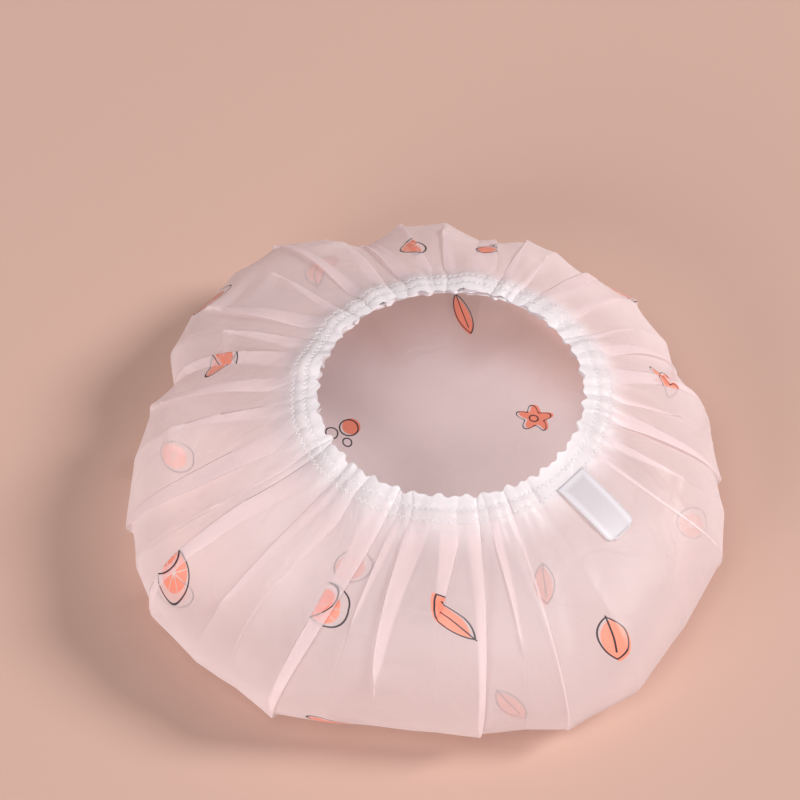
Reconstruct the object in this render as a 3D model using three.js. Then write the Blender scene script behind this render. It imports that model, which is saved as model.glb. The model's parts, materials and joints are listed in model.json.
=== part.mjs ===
// A reusable shower cap of frosted film, lying crown down with its mouth up, as it is laid on a table.
// One disc of film is gathered onto a ring of knitted elastic by two rows of zigzag stitches, each of a
// needle thread outside and a bobbin thread inside. A folded label is caught under the outer row, over
// the place where the elastic's ends lap.
// Sizes are in millimetres and +Z is up. The origin is on the table, under the middle of the mouth.
import * as THREE from "three";

// The cap as it lies
const crownRadius = 156; // from the middle of the mouth to the widest part, before its corners and notches
const crownFlatRadius = 100; // the part of the crown that rests on the table
const crownOffsetLeft = 13; // how far the widest part lies off centre from the mouth
const crownOffsetFront = 5;
const crownStretch = 7; // how much further it reaches to the front and back than to the sides
const widestHeight = 27;
const widestHeightSwing = 5; // how much that height rises and falls round the cap
const mouthRadius = 68; // to the inner edge of the relaxed elastic
const mouthHeight = 80; // of that edge above the table

// The film
const filmWall = 0.6;
const gatherHeight = 3.4; // how far the film puffs up between the pleats on the elastic
const foldHeight = 3.4; // of the raised edge of a whole pleat
const frillLength = 4.2; // film that stands past the elastic's inner edge
const frillWave = 1.3; // how far that edge waves in and out

// The knitted elastic
const elasticWidth = 11;
const elasticThickness = 1.2;
const elasticSlopeDegrees = 20; // how steeply the strip falls away from the mouth
const lapLength = 14; // where its two ends lie on each other
const lapThickness = 0.9; // what the second layer adds
const lapFade = 4; // over which that layer thins out

// The sewing thread
const threadRadius = 0.25;
const zigzagReach = 1.0; // of a stitch to each side of its row
const tackLength = 8; // of the stitches that hold the lap, along the elastic
const tackReach = 2.6; // and across it

// The folded label
const labelWidth = 18;
const labelLength = 31;
const labelLeaf = 0.35; // thickness of one leaf of its cloth
const labelGap = 0.3; // between its two leaves
const labelTabLength = 4; // the end that is caught under the stitches
const labelFoldGap = 0.8; // bare cloth between that end and the part that swings

// Clearance between pieces that are sewn together
const seamGap = 0.3;

// Counts and angles
const steps = 96; // places round the film and the elastic
const frillWaves = 16;
const threadSides = 3;
const tackStitches = 9;
const tackRounding = 0.3; // 0 makes sharp turns in its thread and 1 wide ones
const stepsPerStitch = 3;
const labelStep = 85; // the label's place, in steps round the mouth
const labelLineSteps = 12;
const roundEndSteps = 6;
const unevenBumps = 5; // how often the puffs of film swell and shrink round the mouth
const puffRoundness = 0.7; // 1 makes a puff a sine, and less makes it fuller
const foldTaper = 0.7; // 1 narrows a pleat evenly on its way out, and less keeps it wide for longer

// The creases of the film. Each starts as a pleat at the elastic and ends in a corner of the outline. Its
// place is a step at the elastic and an angle in degrees at the widest part. Then come the corner's distance
// as a share of the crown, the pleat's height as a share of a whole one, how far out the pleat runs as a share
// of the way to the widest part, and its lean: which of its sides is raised.
const creaseShares = [
  [0, 2, 0.97, 0.7, 0.6, 1],
  [3, 10, 0.96, 1.0, 1.2, -1],
  [6, 23, 0.915, 0.9, 1.3, 1],
  [8, 31, 0.94, 0.6, 0.6, -1],
  [11, 44, 0.945, 0.9, 1.0, 1],
  [14, 57, 0.905, 1.0, 1.3, -1],
  [17, 66, 0.94, 0.6, 0.6, 1],
  [19, 75, 0.94, 0.8, 0.9, -1],
  [21, 83, 0.9, 1.0, 1.3, 1],
  [24, 91, 0.98, 0.7, 0.6, -1],
  [26, 100, 0.965, 0.8, 0.9, 1],
  [28, 109, 0.89, 1.0, 1.3, -1],
  [31, 116, 0.99, 0.7, 0.7, 1],
  [33, 125, 1.035, 0.9, 1.0, -1],
  [36, 134, 1.035, 0.7, 0.6, 1],
  [38, 146, 1.01, 0.9, 0.8, -1],
  [41, 155, 0.975, 0.6, 0.6, 1],
  [43, 163, 0.895, 1.0, 1.3, 1],
  [46, 171, 0.945, 0.8, 1.0, -1],
  [49, 182, 0.965, 0.8, 0.75, 1],
  [52, 195, 0.99, 1.0, 1.2, -1],
  [55, 204, 1.01, 0.5, 0.5, -1],
  [57, 212, 1.015, 1.0, 1.3, 1],
  [60, 224, 1.01, 0.7, 0.8, 1],
  [62, 232, 0.99, 0.8, 0.5, -1],
  [65, 240, 0.995, 1.0, 1.3, -1],
  [67, 249, 0.945, 0.6, 0.6, 1],
  [69, 257, 0.91, 0.9, 0.9, 1],
  [72, 267, 0.905, 0.8, 0.5, -1],
  [74, 275, 0.925, 1.0, 1.3, -1],
  [76, 283, 0.945, 0.5, 0.7, 1],
  [78, 290, 1.0, 0.2, 1.2, 1],
  [81, 304, 1.02, 0, 1.3, -1],
  [85, 320, 1.005, 0, 1.0, 1],
  [89, 336, 1.025, 0.3, 1.3, 1],
  [91, 345, 1.005, 0.8, 0.6, -1],
  [94, 353, 0.975, 0.9, 1.1, 1],
];

// How far along each stretch of the profile the rings of the film lie, as shares of that stretch
const flatShares = [0.55, 1];
const sideShares = [0.36, 0.7, 1];
const shoulderShares = [0.2, 0.4, 0.58, 0.74, 0.88, 1];
const bandShares = [0.22, 0.5, 0.78, 1];
const frillShares = [1];
// How high the film stands between the stitches, ring by ring over the elastic
const pressShares = [0.75, 1, 0.6, 1];
const puffReachShare = 0.5; // how far out the puffs run on the shoulder
const unevenShare = 0.25; // how much less high the lowest puffs are
// Where the side and the shoulder of the profile are drawn out to, as shares of their own spans
const sideHandleShare = 0.62;
const rimHandleShare = 0.5;
const slopeHandleShare = 0.36;

const fullTurn = 2 * Math.PI;
const elasticSlope = THREE.MathUtils.degToRad(elasticSlopeDegrees);
const labelAngle = (fullTurn * labelStep) / steps;
const outerRow = flatShares.length + sideShares.length + shoulderShares.length;
const innerRow = outerRow + 2;
const rimRing = outerRow - 1; // the ring over the elastic's outer edge

// How far out each ring of the film lies: 0 on the elastic, 1 at the widest part and 2 on the crown
const outs = [
  ...flatShares.map(() => 2),
  ...sideShares.map((share) => 2 - share),
  ...shoulderShares.map((share) => 1 - share),
  ...bandShares.map(() => 0),
  ...frillShares.map(() => 0),
];

const down = new THREE.Vector3(0, 0, -1);

// Directions in a section through the cap: out from the middle, and up
const alongElastic = new THREE.Vector2(-Math.cos(elasticSlope), Math.sin(elasticSlope));
const offElastic = new THREE.Vector2(Math.sin(elasticSlope), Math.cos(elasticSlope));
const elasticInnerEdge = new THREE.Vector2(mouthRadius, mouthHeight);
const elasticOuterEdge = elasticInnerEdge.clone().addScaledVector(alongElastic, -elasticWidth);
const filmOffElastic = seamGap + filmWall / 2; // from the strip's face to the middle of the film
const labelThickness = 2 * labelLeaf + labelGap;

function angleBetween(a, b) {
  return Math.atan2(Math.sin(a - b), Math.cos(a - b));
}

// 1 far from the label, and near 0 where the film is sewn flat under it
function looseness(angle) {
  const labelHalfAngle = labelWidth / mouthRadius;
  return 1 - Math.exp(-((angleBetween(angle, labelAngle) / labelHalfAngle) ** 4));
}

const creases = creaseShares.map(([step, degrees, cornerShare, heightShare, reachShare, lean]) => {
  const turn = THREE.MathUtils.degToRad(degrees);
  const offset = -crownOffsetLeft * Math.cos(turn) - crownOffsetFront * Math.sin(turn);
  const corner = crownRadius * cornerShare + offset - crownStretch * Math.cos(2 * turn);
  return { step, turn, corner, height: foldHeight * heightShare, reachShare, lean };
});

// The creases to either side of a step, and how far it lies on the way from the one to the other
function creasesBeside(step) {
  const index = creases.findLastIndex((crease) => crease.step <= step);
  const before = creases[index];
  const after = creases[(index + 1) % creases.length];
  const share = (step - before.step) / ((after.step - before.step + steps) % steps);
  return { before, after, share, turn: (after.turn - before.turn + fullTurn) % fullTurn };
}

// The film's angle at a step: even round the elastic, and drawn to the creases on its way to the widest part
function filmAngle(step, out) {
  const { before, share, turn } = creasesBeside(step);
  const even = (fullTurn * step) / steps;
  return even + Math.min(out, 1) * angleBetween(before.turn + share * turn, even);
}

// The outline runs straight from corner to corner
function widestRadius(step) {
  const { before, after, share, turn } = creasesBeside(step);
  const towards = before.corner * Math.sin(share * turn) + after.corner * Math.sin((1 - share) * turn);
  return (before.corner * after.corner * Math.sin(turn)) / towards;
}

function toSpace(angle, section) {
  return new THREE.Vector3(section.x * Math.cos(angle), section.x * Math.sin(angle), section.y);
}

// The middle of the film in a section at one step, ring by ring from the crown to the frill
function filmSection(step) {
  const widest = new THREE.Vector2(
    widestRadius(step),
    widestHeight + widestHeightSwing * Math.sin(2 * filmAngle(step, 1) + 1),
  );
  const floor = filmWall / 2;
  const flatEdge = new THREE.Vector2((crownFlatRadius * widest.x) / crownRadius, floor);
  const rim = elasticOuterEdge.clone().addScaledVector(offElastic, filmOffElastic);
  const side = new THREE.CubicBezierCurve(
    flatEdge,
    new THREE.Vector2(flatEdge.x + sideHandleShare * (widest.x - flatEdge.x), floor),
    new THREE.Vector2(widest.x, widest.y - sideHandleShare * (widest.y - floor)),
    widest,
  );
  const shoulder = new THREE.CubicBezierCurve(
    widest,
    new THREE.Vector2(widest.x, widest.y + rimHandleShare * (rim.y - widest.y)),
    rim.clone().addScaledVector(alongElastic, -slopeHandleShare * (widest.x - rim.x)),
    rim,
  );
  const points = [
    ...flatShares.map((share) => new THREE.Vector2(flatEdge.x * share, floor)),
    ...sideShares.map((share) => side.getPoint(share)),
    ...shoulderShares.map((share) => shoulder.getPoint(share)),
    ...bandShares.map((share) => rim.clone().addScaledVector(alongElastic, elasticWidth * share)),
    ...frillShares.map((share) => {
      const reach = frillLength * share + frillWave * share * Math.sin(frillWaves * filmAngle(step, 0));
      return rim.clone().addScaledVector(alongElastic, elasticWidth + reach);
    }),
  ];
  return lifted(points, step);
}

// The way out of a section at one of its points, square to the line through its neighbours
function sectionNormal(points, index) {
  const before = points[Math.max(index - 1, 0)];
  const after = points[Math.min(index + 1, points.length - 1)];
  return new THREE.Vector2(after.y - before.y, before.x - after.x).normalize();
}

// The section with its pleats and puffs, which stand out from it along its own normal. A pleat's raised side
// falls away over the film to the next pleat, as in a row of tiles.
function lifted(points, step) {
  const { before, after, share } = creasesBeside(step);
  const angle = filmAngle(step, 0);
  const uneven = 1 - unevenShare * (1 + Math.sin(unevenBumps * angle));
  const puff = gatherHeight * uneven * Math.sin(Math.PI * share) ** puffRoundness;
  return points.map((point, ring) => {
    const out = outs[ring];
    const pleat = (crease) => crease.height * Math.max(1 - out / crease.reachShare, 0) ** foldTaper;
    const falling = before.lean > 0 || share === 0 ? pleat(before) * (1 - share) : 0;
    const rising = after.lean > 0 ? 0 : pleat(after) * share;
    const puffed = puff * (1 - THREE.MathUtils.smoothstep(out, 0, puffReachShare));
    const height = looseness(angle) * (pressShares[ring - outerRow] ?? 1) * (falling + rising + puffed);
    return point.clone().addScaledVector(sectionNormal(points, ring), height);
  });
}

const angles = Array.from({ length: steps }, (_, step) => (fullTurn * step) / steps);
const filmGrid = angles.map((_, step) =>
  filmSection(step).map((section, ring) => toSpace(filmAngle(step, outs[ring]), section)),
);

const ringCount = filmGrid[0].length;
const filmNormals = filmGrid.map((column, step) =>
  column.map((point, ring) => {
    const onwards = filmGrid[(step + 1) % steps][ring].clone().sub(filmGrid[(step + steps - 1) % steps][ring]);
    const up = column[Math.min(ring + 1, ringCount - 1)].clone().sub(column[Math.max(ring - 1, 0)]);
    return ring < flatShares.length - 1 ? down.clone() : onwards.cross(up).normalize();
  }),
);

// A point on the film between two rings, set off from its outer face
function overFilm(step, ring, share, off) {
  const from = filmGrid[step][ring];
  const to = filmGrid[step][ring + 1];
  const normal = filmNormals[step][ring].clone().lerp(filmNormals[step][ring + 1], share);
  return from.clone().lerp(to, share).addScaledVector(normal.normalize(), filmWall / 2 + off);
}

function geometryOf(vertices, faces) {
  const geometry = new THREE.BufferGeometry();
  geometry.setAttribute("position", new THREE.Float32BufferAttribute(vertices.flatMap((v) => v.toArray()), 3));
  geometry.setIndex(faces.flat());
  return geometry;
}

function filmGeometry() {
  const vertices = [];
  const faces = [];
  const at = (side, step, ring) => 2 + (side * steps + (step % steps)) * ringCount + ring;
  vertices.push(new THREE.Vector3(0, 0, 0), new THREE.Vector3(0, 0, filmWall));
  for (const side of [1, -1]) {
    filmGrid.forEach((column, step) =>
      column.forEach((point, ring) => {
        const face = point.clone().addScaledVector(filmNormals[step][ring], (side * filmWall) / 2);
        face.z = Math.max(face.z, 0);
        vertices.push(face);
      }),
    );
  }
  for (let step = 0; step < steps; step++) {
    faces.push([0, at(0, step + 1, 0), at(0, step, 0)]);
    faces.push([1, at(1, step, 0), at(1, step + 1, 0)]);
    for (let ring = 0; ring < ringCount - 1; ring++) {
      const [a, b] = [at(0, step, ring), at(0, step + 1, ring)];
      const [c, d] = [at(0, step, ring + 1), at(0, step + 1, ring + 1)];
      faces.push([a, b, d], [a, d, c]);
      const [e, f] = [at(1, step, ring), at(1, step + 1, ring)];
      const [g, h] = [at(1, step, ring + 1), at(1, step + 1, ring + 1)];
      faces.push([e, h, f], [e, g, h]);
    }
    const [p, q] = [at(0, step, ringCount - 1), at(0, step + 1, ringCount - 1)];
    const [r, s] = [at(1, step, ringCount - 1), at(1, step + 1, ringCount - 1)];
    faces.push([p, q, s], [p, s, r]);
  }
  return geometryOf(vertices, faces);
}

// A closed ring from one closed section per step, each section with as many corners
function ringGeometry(sections) {
  const corners = sections[0].length;
  const faces = [];
  sections.forEach((_, step) => {
    for (let corner = 0; corner < corners; corner++) {
      const next = (corner + 1) % corners;
      const here = step * corners;
      const there = ((step + 1) % sections.length) * corners;
      faces.push([here + corner, there + corner, there + next], [here + corner, there + next, here + next]);
    }
  });
  return geometryOf(sections.flat(), faces);
}

// The second layer where the elastic's ends lap, thinning out past the lap
function lapAt(angle) {
  const away = Math.abs(angleBetween(angle, labelAngle)) * mouthRadius;
  return lapThickness * THREE.MathUtils.clamp((lapLength / 2 + lapFade - away) / lapFade, 0, 1);
}

function elasticGeometry() {
  const inner = elasticInnerEdge;
  const outer = elasticOuterEdge;
  return ringGeometry(
    angles.map((angle) => {
      const depth = -(elasticThickness + lapAt(angle));
      return [
        toSpace(angle, inner),
        toSpace(angle, inner.clone().addScaledVector(offElastic, depth)),
        toSpace(angle, outer.clone().addScaledVector(offElastic, depth)),
        toSpace(angle, outer),
      ];
    }),
  );
}

// A thread all the way round, through one point for each step
function threadRing(centres) {
  return ringGeometry(
    centres.map((centre, step) => {
      const ahead = centres[(step + 1) % steps].clone().sub(centres[(step + steps - 1) % steps]).normalize();
      const across = ahead.clone().cross(toSpace(angles[step], offElastic)).normalize();
      const off = across.clone().cross(ahead).normalize();
      return Array.from({ length: threadSides }, (_, side) => {
        const turned = (fullTurn * side) / threadSides;
        return centre
          .clone()
          .addScaledVector(across, threadRadius * Math.cos(turned))
          .addScaledVector(off, threadRadius * Math.sin(turned));
      });
    }),
  );
}

// How far the outer row's needle thread rises to pass over the label's sewn end
function riseOverLabel(angle) {
  const halfAngle = labelWidth / 2 / mouthRadius;
  const flatness = elasticOuterEdge.x * (1 - Math.cos(halfAngle)) * Math.sin(elasticSlope);
  const over = Math.abs(angleBetween(angle, labelAngle)) < halfAngle + seamGap / mouthRadius;
  return over ? seamGap + labelThickness + flatness : 0;
}

// The needle thread of a row of zigzag stitches, on the film, leaning to either side of a ring by turns
function needleThreadGeometry(ring, rise) {
  const lean = zigzagReach / (elasticWidth * (bandShares[1] - bandShares[0]));
  return threadRing(
    angles.map((angle, step) => {
      const off = seamGap + threadRadius + rise(angle);
      return step % 2 ? overFilm(step, ring, lean, off) : overFilm(step, ring - 1, 1 - lean, off);
    }),
  );
}

// The bobbin thread of the same row, on the elastic's face towards the head
function bobbinThreadGeometry(share) {
  return threadRing(
    angles.map((angle, step) => {
      const across = elasticWidth * share + (step % 2 ? zigzagReach : -zigzagReach);
      const off = -(elasticThickness + lapAt(angle) + seamGap + threadRadius);
      const section = elasticOuterEdge.clone().addScaledVector(alongElastic, across).addScaledVector(offElastic, off);
      return toSpace(angle, section);
    }),
  );
}

// A thread through a few points, as a closed tube with ends
function threadGeometry(points) {
  const section = new THREE.Shape(
    Array.from({ length: threadSides }, (_, side) => {
      const turned = (fullTurn * side) / threadSides;
      return new THREE.Vector2(threadRadius * Math.cos(turned), threadRadius * Math.sin(turned));
    }),
  );
  const path = new THREE.CatmullRomCurve3(points, false, "catmullrom", tackRounding);
  const pathSteps = (points.length - 1) * stepsPerStitch;
  return new THREE.ExtrudeGeometry(section, { extrudePath: path, steps: pathSteps, bevelEnabled: false });
}

// The label's own axes: out down the slope of the elastic, off the film, and along its sewn edge
const labelOut = toSpace(labelAngle, alongElastic.clone().negate());
const labelOff = toSpace(labelAngle, offElastic);
const labelAcross = labelOut.clone().cross(labelOff);
const labelHingeOut = labelThickness / 2 + labelFoldGap; // from the caught end to the fold line

// The film's own profile under the label, with no folds
const labelSection = filmSection(labelStep);

// The fold line lies just outside the elastic, clear of the film by a seam gap
const labelOffFilm = filmWall / 2 + seamGap + labelThickness / 2; // from the film's middle to the label's
const labelHingeSection = elasticOuterEdge
  .clone()
  .addScaledVector(alongElastic, -labelHingeOut)
  .addScaledVector(offElastic, filmOffElastic + labelOffFilm);
const labelHinge = toSpace(labelAngle, labelHingeSection);

// The label's middle line as it lies on the film: distances out along the slope and off it
function labelLine() {
  const onFilm = labelSection
    .map((point, ring) => point.clone().addScaledVector(sectionNormal(labelSection, ring), labelOffFilm))
    .slice(flatShares.length + sideShares.length, rimRing + 1)
    .reverse()
    .map((point) => {
      const from = point.sub(labelHingeSection);
      return new THREE.Vector2(-from.dot(alongElastic), from.dot(offElastic));
    })
    .filter((point) => point.x > labelHingeOut);
  const curve = new THREE.SplineCurve([new THREE.Vector2(0, 0), ...onFilm]);
  const lengthShare = labelLength / curve.getLength();
  return Array.from({ length: labelLineSteps + 1 }, (_, step) =>
    curve.getPointAt((lengthShare * step) / labelLineSteps),
  );
}

// A strip folded at its free end, with a round edge at its fold line and a slit between its leaves
function labelFlapGeometry() {
  const line = labelLine();
  const normals = line.map((_, index) => {
    const ahead = line[Math.min(index + 1, line.length - 1)].clone().sub(line[Math.max(index - 1, 0)]);
    return new THREE.Vector2(-ahead.y, ahead.x).normalize();
  });
  const side = (off, from = 0) => line.slice(from).map((p, i) => p.clone().addScaledVector(normals[i + from], off));
  const roundEnd = (middle, normal, radius, from, to) =>
    Array.from({ length: roundEndSteps - 1 }, (_, index) => {
      const turned = from + ((to - from) * (index + 1)) / roundEndSteps;
      const ahead = new THREE.Vector2(normal.y, -normal.x);
      return middle
        .clone()
        .addScaledVector(normal, radius * Math.cos(turned))
        .addScaledVector(ahead, radius * Math.sin(turned));
    });
  const half = labelThickness / 2;
  const last = line.length - 1;
  const outline = new THREE.Shape([
    ...side(half),
    ...roundEnd(line[last], normals[last], half, 0, Math.PI),
    ...side(-half).reverse(),
    ...roundEnd(line[0], normals[0], half, Math.PI, fullTurn),
  ]);
  outline.holes.push(new THREE.Path([...side(-labelGap / 2, 1), ...side(labelGap / 2, 1).reverse()]));
  const geometry = new THREE.ExtrudeGeometry(outline, { depth: labelWidth, bevelEnabled: false, steps: 1 });
  return geometry.translate(0, 0, -labelWidth / 2);
}

function labelTabGeometry() {
  const geometry = new THREE.BoxGeometry(labelTabLength, labelThickness, labelWidth);
  return geometry.translate(-labelHingeOut - labelTabLength / 2, 0, 0);
}

// The stitches that hold the elastic's lap, on the side towards the head
function lapTackPoints() {
  const off = -(elasticThickness + lapThickness + seamGap + threadRadius);
  return Array.from({ length: tackStitches }, (_, index) => {
    const along = (tackLength * (index / (tackStitches - 1) - 1 / 2)) / mouthRadius;
    const across = elasticWidth / 2 + (index % 2 ? tackReach / 2 : -tackReach / 2);
    const section = elasticOuterEdge.clone().addScaledVector(alongElastic, across).addScaledVector(offElastic, off);
    return toSpace(labelAngle + along, section);
  });
}

const frostedFilm = { color: 0xf3dcd8, roughness: 0.42, metalness: 0, transparent: true, opacity: 0.5 };
const knittedElastic = { color: 0xf6f2f4, roughness: 0.9, metalness: 0 };
const whiteThread = { color: 0xfbf8fa, roughness: 0.7, metalness: 0 };
const labelSatin = { color: 0xf4f0f3, roughness: 0.45, metalness: 0 };

const label = new THREE.Group();
label.position.copy(labelHinge);
label.quaternion.setFromRotationMatrix(new THREE.Matrix4().makeBasis(labelOut, labelOff, labelAcross));

function named(name, geometry, finish) {
  const mesh = new THREE.Mesh(geometry, new THREE.MeshStandardMaterial(finish));
  mesh.name = name;
  return mesh;
}

const cap = new THREE.Group();
cap.add(named("cap_film", filmGeometry(), frostedFilm));
cap.add(named("elastic_band", elasticGeometry(), knittedElastic));
cap.add(named("outer_needle_thread", needleThreadGeometry(outerRow, riseOverLabel), whiteThread));
cap.add(named("inner_needle_thread", needleThreadGeometry(innerRow, () => 0), whiteThread));
cap.add(named("outer_bobbin_thread", bobbinThreadGeometry(bandShares[0]), whiteThread));
cap.add(named("inner_bobbin_thread", bobbinThreadGeometry(bandShares[2]), whiteThread));
cap.add(named("lap_tack", threadGeometry(lapTackPoints()), whiteThread));
label.add(named("label_tab", labelTabGeometry(), labelSatin));
label.add(named("label_flap", labelFlapGeometry(), labelSatin));
cap.add(label);

export default cap;
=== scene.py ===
# %% [markdown]
# # A shower cap of frosted film
# This lesson dresses a shower cap that was first built as solid CAD pieces. The cap lies crown down on a
# table with its mouth up. One big disc of thin frosted film is gathered onto a ring of knitted elastic,
# and a folded label is caught in the seam. The CAD pieces come in as a fixed frame, in metres, and every
# new piece is fitted to them.

# %% Load the fixed frame
import json
import math
import bmesh
import bpy
import numpy as np
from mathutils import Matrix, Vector
from mathutils.bvhtree import BVHTree


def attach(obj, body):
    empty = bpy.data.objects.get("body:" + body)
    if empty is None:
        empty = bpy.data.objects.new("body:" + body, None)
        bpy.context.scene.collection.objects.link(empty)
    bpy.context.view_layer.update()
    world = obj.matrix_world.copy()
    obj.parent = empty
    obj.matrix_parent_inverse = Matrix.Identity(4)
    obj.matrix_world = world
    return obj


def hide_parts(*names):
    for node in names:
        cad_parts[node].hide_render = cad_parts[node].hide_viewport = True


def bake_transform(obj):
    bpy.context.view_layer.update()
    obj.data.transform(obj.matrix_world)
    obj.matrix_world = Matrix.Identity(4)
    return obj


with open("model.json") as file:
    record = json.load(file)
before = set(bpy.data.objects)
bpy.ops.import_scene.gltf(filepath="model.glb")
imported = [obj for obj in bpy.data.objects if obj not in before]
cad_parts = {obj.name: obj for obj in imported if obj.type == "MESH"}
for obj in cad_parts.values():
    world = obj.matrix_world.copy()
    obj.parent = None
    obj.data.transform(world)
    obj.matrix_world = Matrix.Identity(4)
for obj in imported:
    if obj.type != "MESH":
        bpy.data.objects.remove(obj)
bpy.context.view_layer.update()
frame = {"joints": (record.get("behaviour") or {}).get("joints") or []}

# %% [markdown]
# ## The sizes
# The real cap was measured off its elastic, which is sold 10 to 11 mm wide. These are the same driving
# sizes as the CAD model's. The film's profile is drawn from them again here, because the CAD film is a
# simple closed solid and the film that shows is one thin sheet with sharp folds.

# %% Driving sizes
mm = 0.001
CROWN_RADIUS = 156 * mm
CROWN_FLAT_RADIUS = 100 * mm
CROWN_OFFSET_LEFT = 13 * mm
CROWN_OFFSET_FRONT = 5 * mm
CROWN_STRETCH = 7 * mm
WIDEST_HEIGHT = 27 * mm
WIDEST_HEIGHT_SWING = 5 * mm
WIDEST_HEIGHT_PHASE = 1  # in radians round the cap
MOUTH_RADIUS = 68 * mm
MOUTH_HEIGHT = 80 * mm
ELASTIC_WIDTH = 11 * mm
ELASTIC_THICKNESS = 1.2 * mm
ELASTIC_SLOPE = math.radians(20)
FRILL_LENGTH = 4.2 * mm
FRILL_WAVE_SHARE = 0.35  # how ragged the frill's edge is
FRILL_WAVES = (37, 61)  # round the frill, one set over the other
FRILL_PHASE = 2
FILM_OFF_ELASTIC = 0.6 * mm  # from the strip's face to the sheet
LABEL_ANGLE = math.radians(-41.25)
LABEL_WIDTH = 18 * mm

# Directions and places in a section through the cap, as (out, up)
along_elastic = np.array([-math.cos(ELASTIC_SLOPE), math.sin(ELASTIC_SLOPE)])
off_elastic = np.array([math.sin(ELASTIC_SLOPE), math.cos(ELASTIC_SLOPE)])
elastic_inner = np.array([MOUTH_RADIUS, MOUTH_HEIGHT])
elastic_outer = elastic_inner - along_elastic * ELASTIC_WIDTH
rim = elastic_outer + off_elastic * FILM_OFF_ELASTIC


def in_space(section_place, angle):
    """A place or direction of the section, turned to an angle round the cap."""
    out, up = section_place
    return Vector((out * math.cos(angle), out * math.sin(angle), up))


def linked(name, data):
    """A new object of the scene for some data."""
    added = bpy.data.objects.new(name, data)
    bpy.context.scene.collection.objects.link(added)
    return added


print("outer edge of the elastic, out and up:", (elastic_outer / mm).round(1), "mm")

# %% [markdown]
# ## The camera
# A long lens from well back flattens the view. The cap is seen from the front and well above, and a small
# shift of the lens puts it left of the middle and low in the frame, without turning the camera.

# %% Camera
CAMERA_ELEVATION = math.radians(52)
CAMERA_DISTANCE = 1.5
FOCAL_LENGTH = 135
SENSOR_WIDTH = 36
FRAME_PIXELS = 800
LENS_SHIFT_X = -51 / FRAME_PIXELS
LENS_SHIFT_Y = 59.2 / FRAME_PIXELS
look_at = Vector((0, 0, 30 * mm))

camera_data = bpy.data.cameras.new("camera")
camera_data.lens = FOCAL_LENGTH
camera_data.sensor_width = SENSOR_WIDTH
camera_data.shift_x = LENS_SHIFT_X
camera_data.shift_y = LENS_SHIFT_Y
camera = linked("camera", camera_data)
back = Vector((0, -math.cos(CAMERA_ELEVATION), math.sin(CAMERA_ELEVATION)))
camera.location = look_at + back * CAMERA_DISTANCE
camera.rotation_euler = (math.pi / 2 - CAMERA_ELEVATION, 0, 0)
bpy.context.scene.camera = camera
print("camera at", [round(v, 3) for v in camera.location])

# %% [markdown]
# ## The creases of the film
# The spare film is gathered into pleats at the elastic. Each pleat runs out over the shoulder as a crease,
# and the film between two creases stands in a flat panel, so the outline of thin film is nearly a polygon
# with a corner at each crease. At the back some creases are drawn in between lobes. One table, the same as
# in the CAD model, drives the pleats and the corners alike.

# %% Creases
STEPS = 96  # the places round the elastic that the table counts in
# Each crease: its step at the elastic, its angle at the widest part in degrees, its distance there as a
# share of the crown, the size of its fold as a share, how far out the fold runs (1 is the widest part) and
# its lean, one way round or the other
CREASES = (
    (0, 2, 0.97, 0.7, 0.6, 1),
    (3, 10, 0.96, 1.0, 1.2, -1),
    (6, 23, 0.915, 0.9, 1.3, 1),
    (8, 31, 0.94, 0.6, 0.6, -1),
    (11, 44, 0.945, 0.9, 1.0, 1),
    (14, 57, 0.905, 1.0, 1.3, -1),
    (17, 66, 0.94, 0.6, 0.6, 1),
    (19, 75, 0.94, 0.8, 0.9, -1),
    (21, 83, 0.9, 1.0, 1.3, 1),
    (24, 91, 0.98, 0.7, 0.6, -1),
    (26, 100, 0.965, 0.8, 0.9, 1),
    (28, 109, 0.89, 1.0, 1.3, -1),
    (31, 116, 0.99, 0.7, 0.7, 1),
    (33, 125, 1.035, 0.9, 1.0, -1),
    (36, 134, 1.035, 0.7, 0.6, 1),
    (38, 146, 1.01, 0.9, 0.8, -1),
    (41, 155, 0.975, 0.6, 0.6, 1),
    (43, 163, 0.895, 1.0, 1.3, 1),
    (46, 171, 0.945, 0.8, 1.0, -1),
    (49, 182, 0.965, 0.8, 0.75, 1),
    (52, 195, 0.99, 1.0, 1.2, -1),
    (55, 204, 1.01, 0.5, 0.5, -1),
    (57, 212, 1.015, 1.0, 1.3, 1),
    (60, 224, 1.01, 0.7, 0.8, 1),
    (62, 232, 0.99, 0.8, 0.5, -1),
    (65, 240, 0.995, 1.0, 1.3, -1),
    (67, 249, 0.945, 0.6, 0.6, 1),
    (69, 257, 0.91, 0.9, 0.9, 1),
    (72, 267, 0.905, 0.8, 0.5, -1),
    (74, 275, 0.925, 1.0, 1.3, -1),
    (76, 283, 0.945, 0.5, 0.7, 1),
    (78, 290, 1.0, 0.2, 1.2, 1),
    (81, 304, 1.02, 0, 1.3, -1),
    (85, 320, 1.005, 0, 1.0, 1),
    (89, 336, 1.025, 0.3, 1.3, 1),
    (91, 345, 1.005, 0.8, 0.6, -1),
    (94, 353, 0.975, 0.9, 1.1, 1),
)
PLEATS = len(CREASES)
crease_step, crease_degrees, corner_share, fold_share, fold_reach, fold_lean = (
    np.array(row, float) for row in zip(*CREASES)
)
crease_band = crease_step / STEPS * math.tau
crease_rim = np.radians(crease_degrees)


def angle_between(a, b):
    return np.arctan2(np.sin(a - b), np.cos(a - b))


def smooth_step(value, low, high):
    share = np.clip((value - low) / (high - low), 0, 1)
    return share * share * (3 - 2 * share)


corner_radius = CROWN_RADIUS * corner_share - CROWN_STRETCH * np.cos(2 * crease_rim)
corner_radius -= CROWN_OFFSET_LEFT * np.cos(crease_rim)
corner_radius -= CROWN_OFFSET_FRONT * np.sin(crease_rim)
corner_angles = np.append(crease_rim, crease_rim[0] + math.tau)
corner_radii = np.append(corner_radius, corner_radius[0])


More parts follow.
